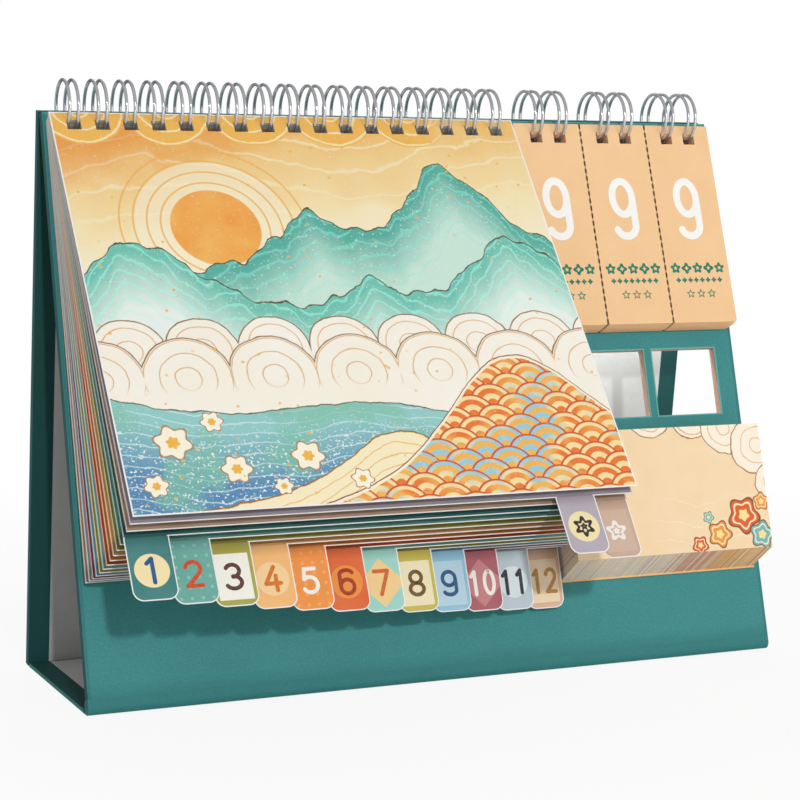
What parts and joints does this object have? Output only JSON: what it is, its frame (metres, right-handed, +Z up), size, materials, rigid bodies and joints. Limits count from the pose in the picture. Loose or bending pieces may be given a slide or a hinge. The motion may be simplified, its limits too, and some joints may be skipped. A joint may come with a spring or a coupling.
{
  "type": "desk calendar",
  "caption": "Desk calendar on a wrapped board easel, with tabbed leaves and number cards that turn on twin-loop wire rings, open windows and a memo pad.",
  "frame": {"origin": "middle of the footprint on the desk, midway between the front foot and the back foot", "axes": "+X to the right of someone reading the calendar, +Y to the rear, +Z up"},
  "size_m": [0.224, 0.1247, 0.1791],
  "materials": {
    "teal_wrap": "fine embossed matt cover paper",
    "greyboard": "raw cut board edge",
    "grey_liner": "plain matt paper",
    "ring_wire": "bright nickel plate",
    "card_stock": "smooth printed card",
    "memo_paper": "uncoated note paper",
    "memo_backing": "thin brown card",
    "cover_print": "smooth coated print",
    "index_1_print": "smooth coated print",
    "index_2_print": "smooth coated print",
    "month_01_print": "smooth coated print",
    "month_02_print": "smooth coated print",
    "month_03_print": "smooth coated print",
    "month_04_print": "smooth coated print",
    "month_05_print": "smooth coated print",
    "month_06_print": "smooth coated print",
    "month_07_print": "smooth coated print",
    "month_08_print": "smooth coated print",
    "month_09_print": "smooth coated print",
    "month_10_print": "smooth coated print",
    "month_11_print": "smooth coated print",
    "month_12_print": "smooth coated print"
  },
  "bodies": {
    "stand": {"front_board_core": "greyboard", "front_board_wrap": "teal_wrap", "front_board_liner": "grey_liner", "back_board_core": "greyboard", "back_board_wrap": "teal_wrap", "back_board_liner": "grey_liner", "front_foot_crease": "teal_wrap", "calendar_wire": "ring_wire", "counter_wires": "ring_wire", "memo_backing_card": "memo_backing", "memo_block": "memo_paper"},
    "base_flap": {"base_board_core": "greyboard", "base_board_wrap": "teal_wrap", "base_board_liner": "grey_liner"},
    "memo_note": {"memo_top_sheet": "memo_paper"},
    "leaf_month_sheet_12": {"month_sheet_12": "month_12_print"},
    "leaf_month_sheet_11": {"month_sheet_11": "month_11_print"},
    "leaf_month_sheet_10": {"month_sheet_10": "month_10_print"},
    "leaf_month_sheet_09": {"month_sheet_09": "month_09_print"},
    "leaf_month_sheet_08": {"month_sheet_08": "month_08_print"},
    "leaf_month_sheet_07": {"month_sheet_07": "month_07_print"},
    "leaf_month_sheet_06": {"month_sheet_06": "month_06_print"},
    "leaf_month_sheet_05": {"month_sheet_05": "month_05_print"},
    "leaf_month_sheet_04": {"month_sheet_04": "month_04_print"},
    "leaf_month_sheet_03": {"month_sheet_03": "month_03_print"},
    "leaf_month_sheet_02": {"month_sheet_02": "month_02_print"},
    "leaf_month_sheet_01": {"month_sheet_01": "month_01_print"},
    "leaf_index_sheet_2": {"index_sheet_2": "index_2_print"},
    "leaf_index_sheet_1": {"index_sheet_1": "index_1_print"},
    "leaf_cover_sheet": {"cover_sheet": "cover_print"},
    "leaf_hundreds_card_0": {"hundreds_card_0": "card_stock"},
    "leaf_hundreds_card_1": {"hundreds_card_1": "card_stock"},
    "leaf_hundreds_card_2": {"hundreds_card_2": "card_stock"},
    "leaf_hundreds_card_3": {"hundreds_card_3": "card_stock"},
    "leaf_hundreds_card_4": {"hundreds_card_4": "card_stock"},
    "leaf_hundreds_card_5": {"hundreds_card_5": "card_stock"},
    "leaf_hundreds_card_6": {"hundreds_card_6": "card_stock"},
    "leaf_hundreds_card_7": {"hundreds_card_7": "card_stock"},
    "leaf_hundreds_card_8": {"hundreds_card_8": "card_stock"},
    "leaf_hundreds_card_9": {"hundreds_card_9": "card_stock"},
    "leaf_tens_card_0": {"tens_card_0": "card_stock"},
    "leaf_tens_card_1": {"tens_card_1": "card_stock"},
    "leaf_tens_card_2": {"tens_card_2": "card_stock"},
    "leaf_tens_card_3": {"tens_card_3": "card_stock"},
    "leaf_tens_card_4": {"tens_card_4": "card_stock"},
    "leaf_tens_card_5": {"tens_card_5": "card_stock"},
    "leaf_tens_card_6": {"tens_card_6": "card_stock"},
    "leaf_tens_card_7": {"tens_card_7": "card_stock"},
    "leaf_tens_card_8": {"tens_card_8": "card_stock"},
    "leaf_tens_card_9": {"tens_card_9": "card_stock"},
    "leaf_units_card_0": {"units_card_0": "card_stock"},
    "leaf_units_card_1": {"units_card_1": "card_stock"},
    "leaf_units_card_2": {"units_card_2": "card_stock"},
    "leaf_units_card_3": {"units_card_3": "card_stock"},
    "leaf_units_card_4": {"units_card_4": "card_stock"},
    "leaf_units_card_5": {"units_card_5": "card_stock"},
    "leaf_units_card_6": {"units_card_6": "card_stock"},
    "leaf_units_card_7": {"units_card_7": "card_stock"},
    "leaf_units_card_8": {"units_card_8": "card_stock"},
    "leaf_units_card_9": {"units_card_9": "card_stock"}
  },
  "joints": [
    {"name": "base_fold", "type": "hinge", "parent": "stand", "child": "base_flap", "pos_m": [0, -0.03466, 0.0022], "axis": [1, 0, 0], "range_deg": [0, 64]},
    {"name": "memo_note_lift", "type": "hinge", "parent": "stand", "child": "memo_note", "pos_m": [0.0741, -0.03273, 0.07275], "axis": [-1, 0, 0], "range_deg": [0, 120]},
    {"name": "month_sheet_12_turn", "type": "hinge", "parent": "stand", "child": "leaf_month_sheet_12", "pos_m": [0, 0.00671, 0.17056], "axis": [-1, 0, 0], "range_deg": [0, 9.26]},
    {"name": "month_sheet_11_turn", "type": "hinge", "parent": "stand", "child": "leaf_month_sheet_11", "pos_m": [0, 0.00671, 0.17056], "axis": [-1, 0, 0], "range_deg": [0, 19.71]},
    {"name": "month_sheet_10_turn", "type": "hinge", "parent": "stand", "child": "leaf_month_sheet_10", "pos_m": [0, 0.00671, 0.17056], "axis": [-1, 0, 0], "range_deg": [0, 30.15]},
    {"name": "month_sheet_09_turn", "type": "hinge", "parent": "stand", "child": "leaf_month_sheet_09", "pos_m": [0, 0.00671, 0.17056], "axis": [-1, 0, 0], "range_deg": [0, 40.6]},
    {"name": "month_sheet_08_turn", "type": "hinge", "parent": "stand", "child": "leaf_month_sheet_08", "pos_m": [0, 0.00671, 0.17056], "axis": [-1, 0, 0], "range_deg": [0, 51.04]},
    {"name": "month_sheet_07_turn", "type": "hinge", "parent": "stand", "child": "leaf_month_sheet_07", "pos_m": [0, 0.00671, 0.17056], "axis": [-1, 0, 0], "range_deg": [0, 61.49]},
    {"name": "month_sheet_06_turn", "type": "hinge", "parent": "stand", "child": "leaf_month_sheet_06", "pos_m": [0, 0.00671, 0.17056], "axis": [-1, 0, 0], "range_deg": [0, 71.94]},
    {"name": "month_sheet_05_turn", "type": "hinge", "parent": "stand", "child": "leaf_month_sheet_05", "pos_m": [0, 0.00671, 0.17056], "axis": [-1, 0, 0], "range_deg": [0, 82.38]},
    {"name": "month_sheet_04_turn", "type": "hinge", "parent": "stand", "child": "leaf_month_sheet_04", "pos_m": [0, 0.00671, 0.17056], "axis": [-1, 0, 0], "range_deg": [0, 92.83]},
    {"name": "month_sheet_03_turn", "type": "hinge", "parent": "stand", "child": "leaf_month_sheet_03", "pos_m": [0, 0.00671, 0.17056], "axis": [-1, 0, 0], "range_deg": [0, 103.27]},
    {"name": "month_sheet_02_turn", "type": "hinge", "parent": "stand", "child": "leaf_month_sheet_02", "pos_m": [0, 0.00671, 0.17056], "axis": [-1, 0, 0], "range_deg": [0, 113.72]},
    {"name": "month_sheet_01_turn", "type": "hinge", "parent": "stand", "child": "leaf_month_sheet_01", "pos_m": [0, 0.00671, 0.17056], "axis": [-1, 0, 0], "range_deg": [0, 124.16]},
    {"name": "index_sheet_2_turn", "type": "hinge", "parent": "stand", "child": "leaf_index_sheet_2", "pos_m": [0, 0.00671, 0.17056], "axis": [-1, 0, 0], "range_deg": [0, 134.61]},
    {"name": "index_sheet_1_turn", "type": "hinge", "parent": "stand", "child": "leaf_index_sheet_1", "pos_m": [0, 0.00671, 0.17056], "axis": [-1, 0, 0], "range_deg": [0, 145.05]},
    {"name": "cover_turn", "type": "hinge", "parent": "stand", "child": "leaf_cover_sheet", "pos_m": [0, 0.00671, 0.17056], "axis": [-1, 0, 0], "range_deg": [0, 155]},
    {"name": "hundreds_card_0_turn", "type": "hinge", "parent": "stand", "child": "leaf_hundreds_card_0", "pos_m": [0, 0.00671, 0.17056], "axis": [-1, 0, 0], "range_deg": [0, 24.27]},
    {"name": "hundreds_card_1_turn", "type": "hinge", "parent": "stand", "child": "leaf_hundreds_card_1", "pos_m": [0, 0.00671, 0.17056], "axis": [-1, 0, 0], "range_deg": [0, 39.97]},
    {"name": "hundreds_card_2_turn", "type": "hinge", "parent": "stand", "child": "leaf_hundreds_card_2", "pos_m": [0, 0.00671, 0.17056], "axis": [-1, 0, 0], "range_deg": [0, 55.66]},
    {"name": "hundreds_card_3_turn", "type": "hinge", "parent": "stand", "child": "leaf_hundreds_card_3", "pos_m": [0, 0.00671, 0.17056], "axis": [-1, 0, 0], "range_deg": [0, 71.35]},
    {"name": "hundreds_card_4_turn", "type": "hinge", "parent": "stand", "child": "leaf_hundreds_card_4", "pos_m": [0, 0.00671, 0.17056], "axis": [-1, 0, 0], "range_deg": [0, 87.04]},
    {"name": "hundreds_card_5_turn", "type": "hinge", "parent": "stand", "child": "leaf_hundreds_card_5", "pos_m": [0, 0.00671, 0.17056], "axis": [-1, 0, 0], "range_deg": [0, 102.73]},
    {"name": "hundreds_card_6_turn", "type": "hinge", "parent": "stand", "child": "leaf_hundreds_card_6", "pos_m": [0, 0.00671, 0.17056], "axis": [-1, 0, 0], "range_deg": [0, 118.42]},
    {"name": "hundreds_card_7_turn", "type": "hinge", "parent": "stand", "child": "leaf_hundreds_card_7", "pos_m": [0, 0.00671, 0.17056], "axis": [-1, 0, 0], "range_deg": [0, 134.12]},
    {"name": "hundreds_card_8_turn", "type": "hinge", "parent": "stand", "child": "leaf_hundreds_card_8", "pos_m": [0, 0.00671, 0.17056], "axis": [-1, 0, 0], "range_deg": [0, 149.81]},
    {"name": "hundreds_turn", "type": "hinge", "parent": "stand", "child": "leaf_hundreds_card_9", "pos_m": [0, 0.00671, 0.17056], "axis": [-1, 0, 0], "range_deg": [0, 165]},
    {"name": "tens_card_0_turn", "type": "hinge", "parent": "stand", "child": "leaf_tens_card_0", "pos_m": [0, 0.00671, 0.17056], "axis": [-1, 0, 0], "range_deg": [0, 24.27]},
    {"name": "tens_card_1_turn", "type": "hinge", "parent": "stand", "child": "leaf_tens_card_1", "pos_m": [0, 0.00671, 0.17056], "axis": [-1, 0, 0], "range_deg": [0, 39.97]},
    {"name": "tens_card_2_turn", "type": "hinge", "parent": "stand", "child": "leaf_tens_card_2", "pos_m": [0, 0.00671, 0.17056], "axis": [-1, 0, 0], "range_deg": [0, 55.66]},
    {"name": "tens_card_3_turn", "type": "hinge", "parent": "stand", "child": "leaf_tens_card_3", "pos_m": [0, 0.00671, 0.17056], "axis": [-1, 0, 0], "range_deg": [0, 71.35]},
    {"name": "tens_card_4_turn", "type": "hinge", "parent": "stand", "child": "leaf_tens_card_4", "pos_m": [0, 0.00671, 0.17056], "axis": [-1, 0, 0], "range_deg": [0, 87.04]},
    {"name": "tens_card_5_turn", "type": "hinge", "parent": "stand", "child": "leaf_tens_card_5", "pos_m": [0, 0.00671, 0.17056], "axis": [-1, 0, 0], "range_deg": [0, 102.73]},
    {"name": "tens_card_6_turn", "type": "hinge", "parent": "stand", "child": "leaf_tens_card_6", "pos_m": [0, 0.00671, 0.17056], "axis": [-1, 0, 0], "range_deg": [0, 118.42]},
    {"name": "tens_card_7_turn", "type": "hinge", "parent": "stand", "child": "leaf_tens_card_7", "pos_m": [0, 0.00671, 0.17056], "axis": [-1, 0, 0], "range_deg": [0, 134.12]},
    {"name": "tens_card_8_turn", "type": "hinge", "parent": "stand", "child": "leaf_tens_card_8", "pos_m": [0, 0.00671, 0.17056], "axis": [-1, 0, 0], "range_deg": [0, 149.81]},
    {"name": "tens_turn", "type": "hinge", "parent": "stand", "child": "leaf_tens_card_9", "pos_m": [0, 0.00671, 0.17056], "axis": [-1, 0, 0], "range_deg": [0, 165]},
    {"name": "units_card_0_turn", "type": "hinge", "parent": "stand", "child": "leaf_units_card_0", "pos_m": [0, 0.00671, 0.17056], "axis": [-1, 0, 0], "range_deg": [0, 24.27]},
    {"name": "units_card_1_turn", "type": "hinge", "parent": "stand", "child": "leaf_units_card_1", "pos_m": [0, 0.00671, 0.17056], "axis": [-1, 0, 0], "range_deg": [0, 39.97]},
    {"name": "units_card_2_turn", "type": "hinge", "parent": "stand", "child": "leaf_units_card_2", "pos_m": [0, 0.00671, 0.17056], "axis": [-1, 0, 0], "range_deg": [0, 55.66]},
    {"name": "units_card_3_turn", "type": "hinge", "parent": "stand", "child": "leaf_units_card_3", "pos_m": [0, 0.00671, 0.17056], "axis": [-1, 0, 0], "range_deg": [0, 71.35]},
    {"name": "units_card_4_turn", "type": "hinge", "parent": "stand", "child": "leaf_units_card_4", "pos_m": [0, 0.00671, 0.17056], "axis": [-1, 0, 0], "range_deg": [0, 87.04]},
    {"name": "units_card_5_turn", "type": "hinge", "parent": "stand", "child": "leaf_units_card_5", "pos_m": [0, 0.00671, 0.17056], "axis": [-1, 0, 0], "range_deg": [0, 102.73]},
    {"name": "units_card_6_turn", "type": "hinge", "parent": "stand", "child": "leaf_units_card_6", "pos_m": [0, 0.00671, 0.17056], "axis": [-1, 0, 0], "range_deg": [0, 118.42]},
    {"name": "units_card_7_turn", "type": "hinge", "parent": "stand", "child": "leaf_units_card_7", "pos_m": [0, 0.00671, 0.17056], "axis": [-1, 0, 0], "range_deg": [0, 134.12]},
    {"name": "units_card_8_turn", "type": "hinge", "parent": "stand", "child": "leaf_units_card_8", "pos_m": [0, 0.00671, 0.17056], "axis": [-1, 0, 0], "range_deg": [0, 149.81]},
    {"name": "units_turn", "type": "hinge", "parent": "stand", "child": "leaf_units_card_9", "pos_m": [0, 0.00671, 0.17056], "axis": [-1, 0, 0], "range_deg": [0, 165]}
  ],
  "couplings": [
    {"joint": "month_sheet_12_turn", "follows": "cover_turn", "ratio": 0.056522},
    {"joint": "month_sheet_11_turn", "follows": "cover_turn", "ratio": 0.12391},
    {"joint": "month_sheet_10_turn", "follows": "cover_turn", "ratio": 0.1913},
    {"joint": "month_sheet_09_turn", "follows": "cover_turn", "ratio": 0.2587},
    {"joint": "month_sheet_08_turn", "follows": "cover_turn", "ratio": 0.32609},
    {"joint": "month_sheet_07_turn", "follows": "cover_turn", "ratio": 0.39348},
    {"joint": "month_sheet_06_turn", "follows": "cover_turn", "ratio": 0.46087},
    {"joint": "month_sheet_05_turn", "follows": "cover_turn", "ratio": 0.52826},
    {"joint": "month_sheet_04_turn", "follows": "cover_turn", "ratio": 0.59565},
    {"joint": "month_sheet_03_turn", "follows": "cover_turn", "ratio": 0.66304},
    {"joint": "month_sheet_02_turn", "follows": "cover_turn", "ratio": 0.73043},
    {"joint": "month_sheet_01_turn", "follows": "cover_turn", "ratio": 0.79783},
    {"joint": "index_sheet_2_turn", "follows": "cover_turn", "ratio": 0.86522},
    {"joint": "index_sheet_1_turn", "follows": "cover_turn", "ratio": 0.93261},
    {"joint": "hundreds_card_0_turn", "follows": "hundreds_turn", "ratio": 0.14409},
    {"joint": "hundreds_card_1_turn", "follows": "hundreds_turn", "ratio": 0.23919},
    {"joint": "hundreds_card_2_turn", "follows": "hundreds_turn", "ratio": 0.33429},
    {"joint": "hundreds_card_3_turn", "follows": "hundreds_turn", "ratio": 0.4294},
    {"joint": "hundreds_card_4_turn", "follows": "hundreds_turn", "ratio": 0.5245},
    {"joint": "hundreds_card_5_turn", "follows": "hundreds_turn", "ratio": 0.6196},
    {"joint": "hundreds_card_6_turn", "follows": "hundreds_turn", "ratio": 0.7147},
    {"joint": "hundreds_card_7_turn", "follows": "hundreds_turn", "ratio": 0.8098},
    {"joint": "hundreds_card_8_turn", "follows": "hundreds_turn", "ratio": 0.9049},
    {"joint": "tens_card_0_turn", "follows": "tens_turn", "ratio": 0.14409},
    {"joint": "tens_card_1_turn", "follows": "tens_turn", "ratio": 0.23919},
    {"joint": "tens_card_2_turn", "follows": "tens_turn", "ratio": 0.33429},
    {"joint": "tens_card_3_turn", "follows": "tens_turn", "ratio": 0.4294},
    {"joint": "tens_card_4_turn", "follows": "tens_turn", "ratio": 0.5245},
    {"joint": "tens_card_5_turn", "follows": "tens_turn", "ratio": 0.6196},
    {"joint": "tens_card_6_turn", "follows": "tens_turn", "ratio": 0.7147},
    {"joint": "tens_card_7_turn", "follows": "tens_turn", "ratio": 0.8098},
    {"joint": "tens_card_8_turn", "follows": "tens_turn", "ratio": 0.9049},
    {"joint": "units_card_0_turn", "follows": "units_turn", "ratio": 0.14409},
    {"joint": "units_card_1_turn", "follows": "units_turn", "ratio": 0.23919},
    {"joint": "units_card_2_turn", "follows": "units_turn", "ratio": 0.33429},
    {"joint": "units_card_3_turn", "follows": "units_turn", "ratio": 0.4294},
    {"joint": "units_card_4_turn", "follows": "units_turn", "ratio": 0.5245},
    {"joint": "units_card_5_turn", "follows": "units_turn", "ratio": 0.6196},
    {"joint": "units_card_6_turn", "follows": "units_turn", "ratio": 0.7147},
    {"joint": "units_card_7_turn", "follows": "units_turn", "ratio": 0.8098},
    {"joint": "units_card_8_turn", "follows": "units_turn", "ratio": 0.9049}
  ]
}
